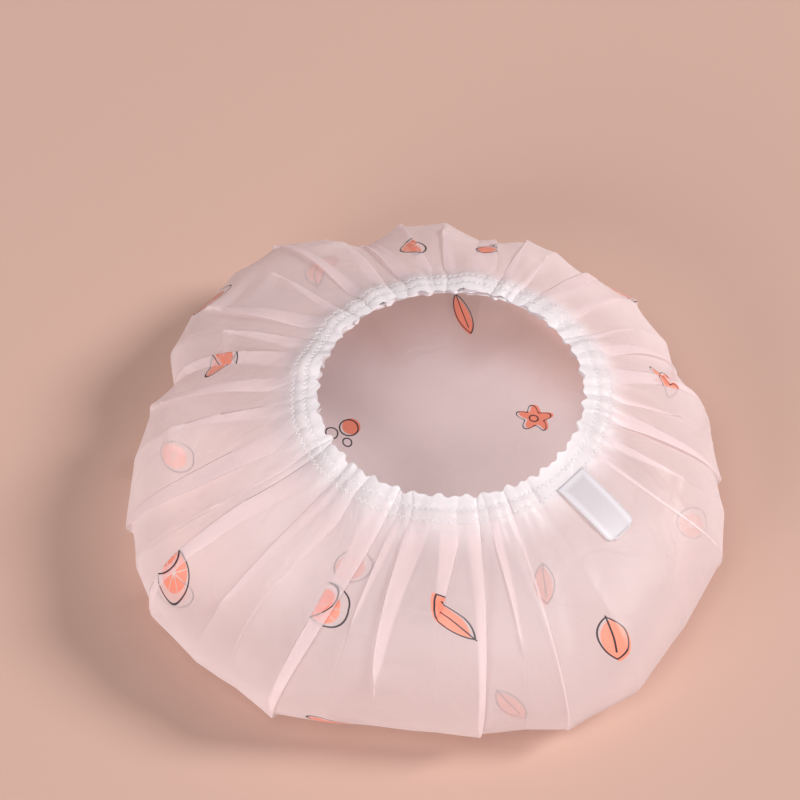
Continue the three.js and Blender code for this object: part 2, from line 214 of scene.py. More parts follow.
def widest_radius(angle):
    """Distance of the outline at an angle, on the straight line between two corners."""
    turned = (angle - corner_angles[0]) % math.tau + corner_angles[0]
    index = np.clip(np.searchsorted(corner_angles, turned, side="right") - 1, 0, PLEATS - 1)
    before, after = corner_angles[index], corner_angles[index + 1]
    near, far = corner_radii[index], corner_radii[index + 1]
    chord = near * far * np.sin(after - before)
    return chord / (near * np.sin(turned - before) + far * np.sin(after - turned))


print("creases:", PLEATS)

# %% [markdown]
# ## The profile of the film
# In a section the film runs flat over the table, curves up to its widest place, comes back over a long
# shoulder to the elastic, lies on the strip and ends in a small frill. Two Bezier curves give the side and
# the shoulder, with the same handles as in the CAD model.

# %% Section through the film
SIDE_HANDLE_SHARE = 0.62
RIM_HANDLE_SHARE = 0.5
SLOPE_HANDLE_SHARE = 0.36
FLOOR_GAP = 0.3 * mm
NORMAL_REACH = 0.02  # along a stretch, to both sides, to find the way off the film
EVEN_ANGLES = 361
STRETCHES = ("crown", "side", "shoulder", "band", "frill")
STRETCH_RINGS = (16, 16, 40, 14, 5)


def bezier(points, t):
    a, b, c, d = points
    u = 1 - t
    return u**3 * a + 3 * u * u * t * b + 3 * u * t * t * c + t**3 * d


def section(angle, stretch, t):
    """Distance from the middle and height of the film at an angle, some way along one stretch."""
    widest = widest_radius(angle)
    widest_height = WIDEST_HEIGHT + WIDEST_HEIGHT_SWING * np.sin(2 * angle + WIDEST_HEIGHT_PHASE)
    flat = CROWN_FLAT_RADIUS * widest / CROWN_RADIUS
    if stretch == "crown":
        return flat * t, FLOOR_GAP + 0 * angle
    if stretch == "side":
        out = bezier((flat, flat + SIDE_HANDLE_SHARE * (widest - flat), widest, widest), t)
        lowered = widest_height - SIDE_HANDLE_SHARE * (widest_height - FLOOR_GAP)
        return out, bezier((FLOOR_GAP, FLOOR_GAP, lowered, widest_height), t)
    if stretch == "shoulder":
        handle = rim[None, :] - along_elastic[None, :] * SLOPE_HANDLE_SHARE * (widest - rim[0])[:, None]
        raised = widest_height + RIM_HANDLE_SHARE * (rim[1] - widest_height)
        out = bezier((widest, widest, handle[:, 0], rim[0]), t)
        return out, bezier((widest_height, raised, handle[:, 1], rim[1]), t)
    waves = np.sin(FRILL_WAVES[0] * angle) + np.sin(FRILL_WAVES[1] * angle + FRILL_PHASE)
    ragged = 1 + FRILL_WAVE_SHARE * waves / 2
    reach = ELASTIC_WIDTH * t if stretch == "band" else ELASTIC_WIDTH + FRILL_LENGTH * t * ragged
    return rim[0] + along_elastic[0] * reach + 0 * angle, rim[1] + along_elastic[1] * reach + 0 * angle


# The rings of the sheet, from its middle outwards, each as a stretch and how far along it lies
rings = [("crown", 0.0)]
for stretch, count in zip(STRETCHES, STRETCH_RINGS):
    rings += [(stretch, (step + 1) / count) for step in range(count)]

even_angles = np.linspace(-math.pi, math.pi, EVEN_ANGLES)[:-1]
ring_sections = [section(even_angles, stretch, t) for stretch, t in rings]
steps_between = [
    np.hypot(b[0] - a[0], b[1] - a[1]).mean() for a, b in zip(ring_sections[:-1], ring_sections[1:])
]
cloth_radii = np.concatenate([[0], np.cumsum(steps_between)])
stretch_ends = {name: cloth_radii[sum(STRETCH_RINGS[: i + 1])] for i, name in enumerate(STRETCHES)}

# %% [markdown]
# ## The pleats
# The flat disc is far too wide for the mouth, so the spare film lies in pleats. In each pleat the film
# turns back on itself and on again, like a Z pressed flat, and it tapers outwards until only a crease is
# left. The pleats in front stand open, and the others lie flatter. On the elastic the film puffs up between
# the pleats, the two rows of stitches press it down, and each puff runs on outwards a little as a flute.
# Under the label the film is sewn on almost smooth.

# %% Sizes of the pleats
# BEGINS and ENDS are two places each out along a crease, 0 at the elastic and 1 at the widest part, between
# which a thing comes or goes
FOLD_WIDTH = 10 * mm
FOLD_WIDTH_CHANCE = (0.6, 1.5)
FOLD_TAPER = 0.7  # the power by which a fold's width falls along its reach
FOLD_OPENS_FROM = 0.75  # of its reach
REAL_FOLD_FROM = 0.2  # a crease with a smaller share than this turns back less
STEEPEST_FOLD = 0.9  # height over width
FOLD_HEIGHT = 2.8 * mm  # of the open pleats in front
PRESSED_FOLD_SHARE = 0.42  # the others lie flatter
FRONT_ANGLE = math.radians(-98)
FRONT_SPREAD = math.radians(42)
GATHER_HEIGHT = 4.2 * mm
GATHER_CHANCE = (0.75, 1.15)
GATHER_MIDDLE = 0.45  # where across the elastic the puffs are highest
GATHER_SPREAD = 0.85  # how far across the elastic they reach from there
GATHER_ROUNDNESS = 0.6  # the power of a sine: less is fuller
FLUTE_SHARE = 0.3  # of a puff's height that runs on outwards
FLUTE_ENDS = (0, 0.5)
STITCH_ROWS = (0.22, 0.78)  # how far across the elastic the two rows lie
ROW_PRESSES = (0.1, 0.16)  # the share of the film's height that each row takes away
ROW_SPREADS = (0.1, 0.12)
WRINKLE_DEPTH = 1.2 * mm
WRINKLE_ENDS = (0, 0.3)
WRINKLE_BESIDE = 0.4  # of its depth, in the next column
WRINKLE_COLUMNS = (6, 14)
CREASE_SWAY = 0.035  # in radians, how far a crease wanders off its straight line
SLANT_HEIGHT = 1.1 * mm  # of the creases that cross the panels at a slant
SLANT_WIDTH = 0.1  # of a panel
SLANT_START_CHANCE = (0.15, 0.85)  # where across a panel a slant begins
SLANT_RUN_CHANCE = (0.5, 1.1)  # panels that it crosses on its way out
SLANT_RISE_CHANCE = (0.4, 1)
SLANT_BEGINS = (0.02, 0.15)
SLANT_ENDS = (0.5, 0.9)
RIDGE_HEIGHT = 1.3 * mm  # how far a crease stands out of the panels beside it
RIDGE_LEAST = 0.4  # the share of the height that a crease with no fold has
RIDGE_FALL = 8 * mm
RIDGE_BEGINS = (0.1, 0.4)
RIDGE_END = 1.1
RIDGE_END_FADE = 0.4
LEAST_FOLD = 1.2 * mm
LEAST_LAP = 0.03  # of a turn in radians, where a fold has run out
COLUMNS_IN_FOLD = 4
COLUMNS_IN_PLEAT = 24
columns = COLUMNS_IN_PLEAT * PLEATS
rng = np.random.default_rng(11)
fold_real = smooth_step(fold_share, 0, REAL_FOLD_FROM)
fold_width = FOLD_WIDTH * fold_share * rng.uniform(*FOLD_WIDTH_CHANCE, PLEATS)
frontness = np.exp(-((angle_between(crease_rim, FRONT_ANGLE) / FRONT_SPREAD) ** 2))
fold_height = FOLD_HEIGHT * fold_share * (PRESSED_FOLD_SHARE + (1 - PRESSED_FOLD_SHARE) * frontness)
fold_flatness = np.arcsin(np.minimum(fold_height / np.maximum(fold_width, LEAST_FOLD), STEEPEST_FOLD))
panel_puff = rng.uniform(*GATHER_CHANCE, PLEATS)
panel_wrinkle = rng.integers(*WRINKLE_COLUMNS, PLEATS)  # where a small extra crease lies near the elastic
crease_sway = rng.uniform(-1, 1, PLEATS) * CREASE_SWAY
slant_start = rng.uniform(*SLANT_START_CHANCE, PLEATS)
slant_run = np.where(slant_start > 0.5, -1, 1) * rng.uniform(*SLANT_RUN_CHANCE, PLEATS)
slant_rise = rng.choice((-1, 1), PLEATS) * rng.uniform(*SLANT_RISE_CHANCE, PLEATS)
slant_rise *= 0.5 + 0.5 * frontness
print(PLEATS, "pleats,", columns, "columns")


def along_film(radius):
    """0 at the elastic, 1 at the widest part, 2 where the crown meets the table and 3 in its middle."""
    stops = [0, stretch_ends["crown"], stretch_ends["side"], stretch_ends["shoulder"]]
    return np.interp(radius, stops, [3, 2, 1, 0])


def over_band(radius):
    """0 at the elastic's outer edge and 1 at its inner edge, and on past that in the frill."""
    return (radius - stretch_ends["shoulder"]) / ELASTIC_WIDTH


def looseness(angle):
    """1 far from the label, and near 0 where the film is sewn flat under it."""
    return 1 - np.exp(-((angle_between(angle, LABEL_ANGLE) / (LABEL_WIDTH / MOUTH_RADIUS)) ** 4))


# %% [markdown]
# For one ring of the sheet, each pleat gives two creases. Columns of points share out the film between
# them, close together beside a crease, so that it stays sharp. The function gives each column's angle
# round the mouth and its height off the plain profile.

# %% Where the columns of one ring lie
def following(values, turn=0.0):
    """Each pleat's value replaced by the next pleat's, round the ring."""
    return np.append(values[1:], values[0] + turn)


def between(first, second, shares):
    """One row of values for each pleat, from its first value towards its second."""
    return first[:, None] + (second - first)[:, None] * shares


def gathered_ring(radius):
    out = float(along_film(radius))
    band = float(over_band(radius))
    centre = crease_band + angle_between(crease_rim, crease_band) * min(out, 1.0)
    centre += crease_sway * math.sin(math.pi * min(out, 1.0))
    ring_radius = float(np.mean(np.interp(radius, cloth_radii, [s[0].mean() for s in ring_sections])))
    # The fold tapers on its way out, and opens at its very end
    spent = np.clip(out / fold_reach, 0, 1)
    width = np.maximum(fold_width * (1 - spent) ** FOLD_TAPER, LEAST_FOLD)
    turned = math.pi - (math.pi - fold_flatness) * fold_real * (1 - smooth_step(spent, FOLD_OPENS_FROM, 1))
    pressed = sum(
        press * math.exp(-(((band - row) / spread) ** 2))
        for row, press, spread in zip(STITCH_ROWS, ROW_PRESSES, ROW_SPREADS)
    )
    height = width * np.sin(turned) * (1 - pressed)
    half_lap = np.maximum(width * np.cos(turned) / 2 / max(ring_radius, mm), -LEAST_LAP)
    first_height = np.where(fold_lean > 0, 0, height)
    second_height = np.where(fold_lean > 0, height, 0)
    first_angle, second_angle = centre + half_lap, centre - half_lap
    next_angle = following(first_angle, math.tau)
    next_height = following(first_height)
    over_fold = np.arange(COLUMNS_IN_FOLD) / COLUMNS_IN_FOLD
    panel_count = COLUMNS_IN_PLEAT - COLUMNS_IN_FOLD
    over_panel = (1 - np.cos(math.pi * np.arange(panel_count) / panel_count)) / 2
    fold_angles = between(first_angle, second_angle, over_fold)
    fold_heights = between(first_height, second_height, over_fold)
    panel_angles = between(second_angle, next_angle, over_panel)
    panel_heights = between(second_height, next_height, over_panel)
    # The film puffs up between the pleats on the elastic, with a small crease somewhere in each puff
    lobe = (1 - FLUTE_SHARE) * math.exp(-(((band - GATHER_MIDDLE) / GATHER_SPREAD) ** 2))
    flute = FLUTE_SHARE * (1 - smooth_step(out, *FLUTE_ENDS))
    puff = GATHER_HEIGHT * (1 - pressed) * (lobe + flute) * panel_puff
    panel_heights += puff[:, None] * np.sin(math.pi * over_panel) ** GATHER_ROUNDNESS
    wrinkle = WRINKLE_DEPTH * (1 - smooth_step(out, *WRINKLE_ENDS))
    panel_heights[np.arange(PLEATS), panel_wrinkle] -= wrinkle
    panel_heights[np.arange(PLEATS), panel_wrinkle + 1] -= wrinkle * WRINKLE_BESIDE
    # A slanting crease crosses each panel on its way out
    crossed = slant_start + slant_run * out
    slant = SLANT_HEIGHT * slant_rise * smooth_step(out, *SLANT_BEGINS) * (1 - smooth_step(out, *SLANT_ENDS))
    beside = np.exp(-(((over_panel - crossed[:, None]) / SLANT_WIDTH) ** 2))
    panel_heights += slant[:, None] * beside
    # Further out each crease stands up a little, and the panels hang in between
    ridge = RIDGE_HEIGHT * smooth_step(out, *RIDGE_BEGINS) * smooth_step(RIDGE_END - out, 0, RIDGE_END_FADE)
    ridge = ridge * (RIDGE_LEAST + fold_share)
    span = (next_angle - second_angle)[:, None] * ring_radius
    panel_heights += ridge[:, None] * np.exp(-over_panel * span / RIDGE_FALL)
    panel_heights += following(ridge)[:, None] * np.exp(-(1 - over_panel) * span / RIDGE_FALL)
    fold_heights += ridge[:, None]
    angles = np.hstack([fold_angles, panel_angles]).ravel()
    heights = np.hstack([fold_heights, panel_heights]).ravel()
    return angles, heights * looseness(angles)


# %% [markdown]
# A packed cap keeps straight creases from where it was folded, which cross the panels at a slant. Along a
# few directions over the flat disc the film rises and falls in straight steps, and the sum of these gives
# flat facets with creases between.

# %% Creases from packing
CREASE_WAYS = 5
CREASES_ACROSS = 24
CREASE_SPACING = 34 * mm
CREASE_SPACING_CHANCE = (0.5, 1.5)
CREASE_HEIGHT = 0.8 * mm
CREASE_TURN_CHANCE = (-0.3, 0.3)  # of the angle from one way to the next
PACKED_BEGINS = (0.05, 0.4)  # out from the elastic, counted as above
PACKED_END_FADE = 0.5  # short of the table
packed = []
for way in range(CREASE_WAYS):
    places = np.cumsum(rng.uniform(*CREASE_SPACING_CHANCE, CREASES_ACROSS) * CREASE_SPACING)
    places -= CREASES_ACROSS / 2 * CREASE_SPACING
    turn = math.pi * (way + rng.uniform(*CREASE_TURN_CHANCE)) / CREASE_WAYS
    packed.append((turn, places, rng.uniform(-1, 1, CREASES_ACROSS) * CREASE_HEIGHT))


def packing_height(radius, angles):
    """How far the creases from packing lift the film at a place on the flat disc."""
    out = float(along_film(radius))
    fade = smooth_step(out, *PACKED_BEGINS) * smooth_step(2 - out, 0, PACKED_END_FADE)
    steps = [np.interp(radius * np.cos(angles - turn), places, rises) for turn, places, rises in packed]
    return fade * sum(steps)


def rounded(values, turn=0.0):
    """Rounds off the creases a little, round one ring."""
    before = np.roll(values, 1)
    after = np.roll(values, -1)
    before[0] -= turn
    after[-1] += turn
    return (before + 2 * values + after) / 4


def place_ring(index):
    stretch, t = rings[index]
    angles, heights = gathered_ring(cloth_radii[index])
    angles = rounded(angles, math.tau)
    heights = rounded(heights) + packing_height(cloth_radii[index], angles)
    out, up = section(angles, stretch, t)
    # The way off the film in the section, from two close places on the same stretch
    t0, t1 = max(t - NORMAL_REACH, 0), min(t + NORMAL_REACH, 1)
    out0, up0 = section(angles, stretch, t0)
    out1, up1 = section(angles, stretch, t1)
    length = np.hypot(out1 - out0, up1 - up0) + 1e-12
    normal_out, normal_up = (up1 - up0) / length, (out0 - out1) / length
    if stretch == "crown":
        heights = heights * 0
    out = out + normal_out * heights
    up = np.maximum(up + normal_up * heights, FLOOR_GAP)
    return np.stack([out * np.cos(angles), out * np.sin(angles), up], axis=1)


grid = np.array([place_ring(index) for index in range(len(rings))])
places = grid.reshape(-1, 3) / mm
print("the gathered sheet reaches", places.min(0).round(), places.max(0).round())

# %% [markdown]
# ## The sheet of film
# A chain of points is spun once round to make the flat disc, with one merge at its pole. Its points then
# move to their gathered places. The disc's flat coordinates stay on it as a UV map, so that the print runs
# with the film into the folds.

# %% Spin the disc and gather it
def smooth_piece(name, shape):
    """An object for a finished bmesh, with smooth faces."""
    mesh = bpy.data.meshes.new(name)
    shape.to_mesh(mesh)
    shape.free()
    mesh.shade_smooth()
    return linked(name, mesh)


def spun(places, steps, closed=False):
    """A bmesh of a chain of points, each given as out and up, spun once round the middle of the mouth."""
    shape = bmesh.new()
    chain = [shape.verts.new((out, 0, up)) for out, up in places]
    links = [shape.edges.new(pair) for pair in zip(chain, chain[1:] + chain[:1] * closed)]
    bmesh.ops.spin(
        shape, geom=chain + links, cent=(0, 0, 0), axis=(0, 0, 1), angle=math.tau, steps=steps, use_merge=True
    )
    return shape


def in_place_of(node, piece):
    """Makes a finished piece ride on the cap where a CAD node was."""
    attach(piece, "cap")
    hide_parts(node)
    return piece


disc = spun([(radius, 0) for radius in cloth_radii], columns)
bmesh.ops.remove_doubles(disc, verts=disc.verts, dist=0.01 * mm)
flat = np.array([vertex.co[:2] for vertex in disc.verts])
flat_radius = np.hypot(flat[:, 0], flat[:, 1])
ring_of = np.abs(flat_radius[:, None] - cloth_radii[None, :]).argmin(axis=1)
column_of = np.rint(np.arctan2(flat[:, 1], flat[:, 0]) / math.tau * columns).astype(int) % columns
for vertex, ring_index, column in zip(disc.verts, ring_of, column_of):
    vertex.co = grid[ring_index, column]

# How far round the cloth each column lies, by its length along the gathered ring
lengths = np.linalg.norm(np.roll(grid, -1, axis=1) - grid, axis=2)
lengths[0] = lengths[1]
runs = np.cumsum(lengths, axis=1) - lengths
cloth_angles = crease_band[0] + runs / lengths.sum(axis=1)[:, None] * math.tau
flat_disc = disc.loops.layers.uv.new("flat_disc")
disc.verts.ensure_lookup_table()
for face in disc.faces:
    for loop in face.loops:
        ring_index, column = ring_of[loop.vert.index], column_of[loop.vert.index]
        turn, radius = cloth_angles[ring_index, column], cloth_radii[ring_index]
        loop[flat_disc].uv = (radius * math.cos(turn), radius * math.sin(turn))
bmesh.ops.recalc_face_normals(disc, faces=disc.faces)
film = in_place_of("cap_film", smooth_piece("film", disc))

# %% [markdown]
# ## The knitted elastic
# The strip is a flat narrow knit with cords of rubber running lengthways, which show as low ribs. Its
# section is drawn once as a chain of points, with a bump for each rib on both faces, and spun round the
# mouth. Where its two ends lap it is thicker, on the side towards the head. Drawn-in elastic is never
# quite even, so its points are moved a little up and down round the ring.

# %% Elastic
RIBS = 7
POINTS_IN_RIB = 5
RIB_HEIGHT = 0.16 * mm
LAP_LENGTH = 14 * mm
LAP_THICKNESS = 0.9 * mm
LAP_FADE = 4 * mm
ELASTIC_STEPS = 384
ELASTIC_WAVES = 64
ELASTIC_WAVE = 0.12 * mm


def in_section(across, off):
    """Out and up of a point so far across the elastic from its outer edge, and so far off its face."""
    return elastic_outer + along_elastic * across + off_elastic * off


def rib_rise(point):
    """How far a point of the ribbed face lies off the ribs' tops, which is 0 or below."""
    return RIB_HEIGHT * (abs(math.sin(math.pi * point / POINTS_IN_RIB)) - 1)


rib_points = RIBS * POINTS_IN_RIB
across_ribs = [(ELASTIC_WIDTH * point / rib_points, rib_rise(point)) for point in range(rib_points + 1)]
top = [in_section(across, rise) for across, rise in across_ribs]
underside = [in_section(across, -ELASTIC_THICKNESS - rise) for across, rise in across_ribs]
strip = spun(top + underside[::-1], ELASTIC_STEPS, closed=True)
round_strip = strip.loops.layers.uv.new("along_strip")
for vertex in strip.verts:
    angle = math.atan2(vertex.co.y, vertex.co.x)
    out = math.hypot(vertex.co.x, vertex.co.y)
    off = float(np.dot(np.array([out, vertex.co.z]) - elastic_outer, off_elastic))
    away = abs(float(angle_between(angle, LABEL_ANGLE))) * MOUTH_RADIUS
    lap = LAP_THICKNESS * min(max((LAP_LENGTH / 2 + LAP_FADE - away) / LAP_FADE, 0), 1)
    lower = min(max(-off / ELASTIC_THICKNESS, 0), 1)
    moved = ELASTIC_WAVE * math.sin(ELASTIC_WAVES * angle) - lap * lower - ELASTIC_WAVE
    vertex.co += in_space(off_elastic, angle) * moved
for face in strip.faces:
    x, y, _ = face.calc_center_median()
    middle = math.atan2(y, x)
    for loop in face.loops:
        co = loop.vert.co
        turn = middle + float(angle_between(math.atan2(co.y, co.x), middle))
        across = float(np.dot(np.array([math.hypot(co.x, co.y), co.z]) - elastic_outer, along_elastic))
        loop[round_strip].uv = (turn * MOUTH_RADIUS, across)
bmesh.ops.recalc_face_normals(strip, faces=strip.faces)
elastic = in_place_of("elastic_band", smooth_piece("elastic", strip))
print("elastic:", len(elastic.data.polygons), "faces")

# %% [markdown]
# ## The stitches
# Two rows of zigzag hold the film on the elastic. Outside lies the needle thread, over every pucker of the
# film, and inside lies the bobbin thread on the strip. Each point of a thread is found by casting a ray
# onto what it lies on, so the stitches follow the gathers. A curve with a round bevel gives the mesh.

# %% Threads
THREAD_RADIUS = 0.16 * mm
THREAD_STANDS_OUT = 0.6  # of its radius, from what it lies on to its middle
STITCH_LENGTH = 2.6 * mm
ZIGZAG_REACH = 1.0 * mm
POINTS_IN_STITCH = 4
RAY_START = 14 * mm
depsgraph = bpy.context.evaluated_depsgraph_get()
film_tree, elastic_tree = (BVHTree.FromObject(piece, depsgraph) for piece in (film, elastic))


def on_surface(tree, angle, across, side):
    """A point on what lies outside (side 1) or inside (side -1) the elastic, so far across it."""
    start = in_space(in_section(across, side * RAY_START), angle)
    way = in_space(off_elastic, angle) * -side
    hit = tree.ray_cast(start, way, 2 * RAY_START)[0]
    if hit is None:
        hit = in_space(in_section(across, 0), angle)
    return hit - way * THREAD_RADIUS * THREAD_STANDS_OUT


def thread(name, points, closed, node):
    curve = bpy.data.curves.new(name, "CURVE")
    curve.dimensions = "3D"
    curve.bevel_depth = THREAD_RADIUS
    curve.bevel_resolution = 1
    curve.use_fill_caps = not closed
    spline = curve.splines.new("POLY")
    spline.points.add(len(points) - 1)
    for place, point in zip(spline.points, points):
        place.co = (*point, 1)
    spline.use_cyclic_u = closed
    holder = linked(name + "_curve", curve)
    mesh = bpy.data.meshes.new_from_object(holder.evaluated_get(bpy.context.evaluated_depsgraph_get()))
    bpy.data.objects.remove(holder)
    mesh.name = name
    mesh.shade_smooth()
    return in_place_of(node, linked(name, mesh))


def zigzag_row(name, tree, across_share, side):
    count = round(math.tau * MOUTH_RADIUS / STITCH_LENGTH) * POINTS_IN_STITCH
    points = []
    for step in range(count):
        angle = math.tau * step / count
        swing = 1 - abs((step % POINTS_IN_STITCH) * 2 / POINTS_IN_STITCH - 1) * 2
        across = ELASTIC_WIDTH * across_share + ZIGZAG_REACH * swing
        points.append(on_surface(tree, angle, across, side))
    return thread(name, points, True, name + "_thread")


threads = [
    zigzag_row(f"{edge}_{kind}", tree, row, side)
    for kind, tree, side in (("needle", film_tree, 1), ("bobbin", elastic_tree, -1))
    for edge, row in zip(("outer", "inner"), STITCH_ROWS)
]
TACK_LENGTH = 8 * mm
TACK_REACH = 1.3 * mm
TACK_STITCHES = 14
tack_points = []
for step in range(TACK_STITCHES * 2 + 1):
    angle = LABEL_ANGLE + TACK_LENGTH / MOUTH_RADIUS * (step / (TACK_STITCHES * 2) - 0.5)
    across = ELASTIC_WIDTH / 2 + TACK_REACH * (1 - step % 2 * 2)
    tack_points.append(on_surface(elastic_tree, angle, across, -1))
threads.append(thread("tack", tack_points, False, "lap_tack"))
print("threads:", [(piece.name, len(piece.data.polygons)) for piece in threads])

# %% [markdown]
# ## The label
# The label is one strip of satin, folded in half at its free end, with both ends caught under the outer
# row of stitches. A grid is laid along a line that runs out over the film, round the fold and back, and
# then gets its thickness. It is laid out from the joint of the CAD model, just outside the elastic, and it
# is one mesh that runs across that joint.

# %% Label
LABEL_LENGTH = 31 * mm
LABEL_TAB = 4.8 * mm  # from the fold line in to the ends that are sewn
LABEL_CLOTH = 0.22 * mm
LABEL_LEAF_GAP = 0.3 * mm  # between the middles of the two leaves
LABEL_BULGE = 0.3 * mm  # how much wider the gap is halfway along
LABEL_PINCHED_GAP = 0.02 * mm  # of air that is left between them under the stitches
LABEL_PINCHED_TO = 0.15  # of the length
LABEL_OFF_FILM = 0.35 * mm
LABEL_PRESSED_OFF = 0.14 * mm  # under the stitches, where the leaves lie tight
LABEL_PRESSED_WITHIN = 6 * mm
LABEL_FOLD_RADIUS = 0.15 * mm  # on top of half the gap
LABEL_FOLD_STRETCH = 1.6  # the fold is longer than a half circle
LABEL_CORNER = 3.4 * mm
LABEL_CURL = 0.35 * mm  # how far the upper leaf's sides rise
LABEL_LOWER_CURL = 0.2  # the lower leaf's, as a share of that
LABEL_RESTS_AT = (-0.45, -0.2, 0, 0.2, 0.45)  # shares of the width where the film is felt for
NO_FILM_HEIGHT = -2 * mm
LIFTING_PASSES = 12
SMOOTHING_PASSES = 6
LABEL_STEPS_ALONG = 36
LABEL_STEPS_ACROSS = 14
LABEL_TURN_STEPS = 8
hinge = Vector(frame["joints"][0]["pos_m"])
label_out = in_space(-along_elastic, LABEL_ANGLE)
label_off = in_space(off_elastic, LABEL_ANGLE)
label_across = label_out.cross(label_off)


def film_under(distance, across):
    start = hinge + label_out * distance + label_across * across + label_off * RAY_START
    hit = film_tree.ray_cast(start, -label_off, 3 * RAY_START)[0]
    return (hit - hinge).dot(label_off) if hit else NO_FILM_HEIGHT


def label_line():
    """The lower leaf's line, as distances out from the fold line and off it: it rests on the highest film."""
    outs = np.linspace(-LABEL_TAB, LABEL_LENGTH, LABEL_STEPS_ALONG + 1)
    offs = np.array([max(film_under(out, LABEL_WIDTH * share) for share in LABEL_RESTS_AT) for out in outs])
    for _ in range(LIFTING_PASSES):
        offs[1:-1] = np.maximum(offs[1:-1], (offs[:-2] + 2 * offs[1:-1] + offs[2:]) / 4)
    for _ in range(SMOOTHING_PASSES):
        offs[1:-1] = (offs[:-2] + 2 * offs[1:-1] + offs[2:]) / 4
    loose = smooth_step(outs + LABEL_TAB, 0, LABEL_PRESSED_WITHIN)
    return outs, offs + LABEL_PRESSED_OFF + (LABEL_OFF_FILM - LABEL_PRESSED_OFF) * loose + LABEL_CLOTH / 2


outs, offs = label_line()
along_label = np.linspace(0, 1, LABEL_STEPS_ALONG + 1)
leaf_gap = LABEL_LEAF_GAP + LABEL_BULGE * np.sin(math.pi * along_label)
pinch = LABEL_LEAF_GAP - LABEL_CLOTH - LABEL_PINCHED_GAP
leaf_gap = leaf_gap - pinch * (1 - smooth_step(along_label, 0, LABEL_PINCHED_TO))
fold_radius = leaf_gap[-1] / 2 + LABEL_FOLD_RADIUS
fold_turns = math.pi * np.arange(1, LABEL_TURN_STEPS) / LABEL_TURN_STEPS
fold_outs = outs[-1] + LABEL_FOLD_STRETCH * fold_radius * np.sin(fold_turns)
fold_offs = offs[-1] + leaf_gap[-1] / 2 - fold_radius * np.cos(fold_turns)
path = [*zip(outs, offs), *zip(fold_outs, fold_offs), *zip(outs[::-1], (offs + leaf_gap)[::-1])]
strip_lengths = np.concatenate([[0], np.cumsum([math.dist(a, b) for a, b in zip(path[:-1], path[1:])])])
cloth = bmesh.new()
label_uv = cloth.loops.layers.uv.verify()
bmesh.ops.create_grid(cloth, x_segments=len(path) - 1, y_segments=LABEL_STEPS_ACROSS, size=0.5, calc_uvs=True)
tip = len(path) / 2
for vertex in cloth.verts:
    index = round((vertex.co.x + 0.5) * (len(path) - 1))
    share = vertex.co.y * 2
    out, off = path[index]
    to_tip = LABEL_LENGTH - out
    in_corner = max(LABEL_CORNER - max(to_tip, 0), 0)
    rounding = 1 - (LABEL_CORNER - math.sqrt(LABEL_CORNER**2 - in_corner**2)) / (LABEL_WIDTH / 2)
    curl = LABEL_CURL * abs(share) ** 3 * (1 if index > tip else LABEL_LOWER_CURL)
    across = LABEL_WIDTH / 2 * share * rounding
    vertex.co = hinge + label_out * out + label_off * (off + curl) + label_across * across
for face in cloth.faces:
    for loop in face.loops:
        u, v = loop[label_uv].uv
        loop[label_uv].uv = (u * strip_lengths[-1], v * LABEL_WIDTH)
bmesh.ops.recalc_face_normals(cloth, faces=cloth.faces)
label = smooth_piece("label", cloth)
thicken = label.modifiers.new("cloth", "SOLIDIFY")
thicken.thickness = LABEL_CLOTH
thicken.offset = 0
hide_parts("label_tab", "label_flap")
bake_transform(label)
print("label:", round(strip_lengths[-1] / mm, 1), "mm of strip,", len(label.data.polygons), "faces")

# %% [markdown]
# ## Shader maths as sums
# Procedural finishes are sums on numbers. A small class wraps a socket of a node tree, so that an
# expression such as 1 - mask adds the Math node that it needs, and one method adds any other node.

# %% A class for shader maths
def operator(operation, reflected=False):
    """A method that adds the Math node of an operation, with the number first where it is reflected."""

    def method(self, *others):
        return self.maths(operation, *((*others, self) if reflected else (self, *others)))

    return method


class Link:
    """A value on its way through a node tree."""

    __add__ = __radd__ = operator("ADD")
    __sub__, __rsub__ = operator("SUBTRACT"), operator("SUBTRACT", reflected=True)
    __mul__ = __rmul__ = operator("MULTIPLY")
    __truediv__, __pow__ = operator("DIVIDE"), operator("POWER")
    __abs__, sine = operator("ABSOLUTE"), operator("SINE")
    floor, fraction = operator("FLOOR"), operator("FRACT")
    least, most = operator("MINIMUM"), operator("MAXIMUM")

    def __init__(self, finish, socket):
        self.finish = finish
        self.socket = socket

    def maths(self, operation, *values):
        return self.finish.node("Math", dict(enumerate(values)), {"operation": operation})

    def under(self, limit, edge):
        """1 where the value is below the limit and 0 above it, with a soft edge."""
        sockets = {"Value": self, "From Min": limit + edge / 2, "From Max": limit - edge / 2}
        return self.finish.node("MapRange", sockets, {"interpolation_type": "SMOOTHSTEP"})


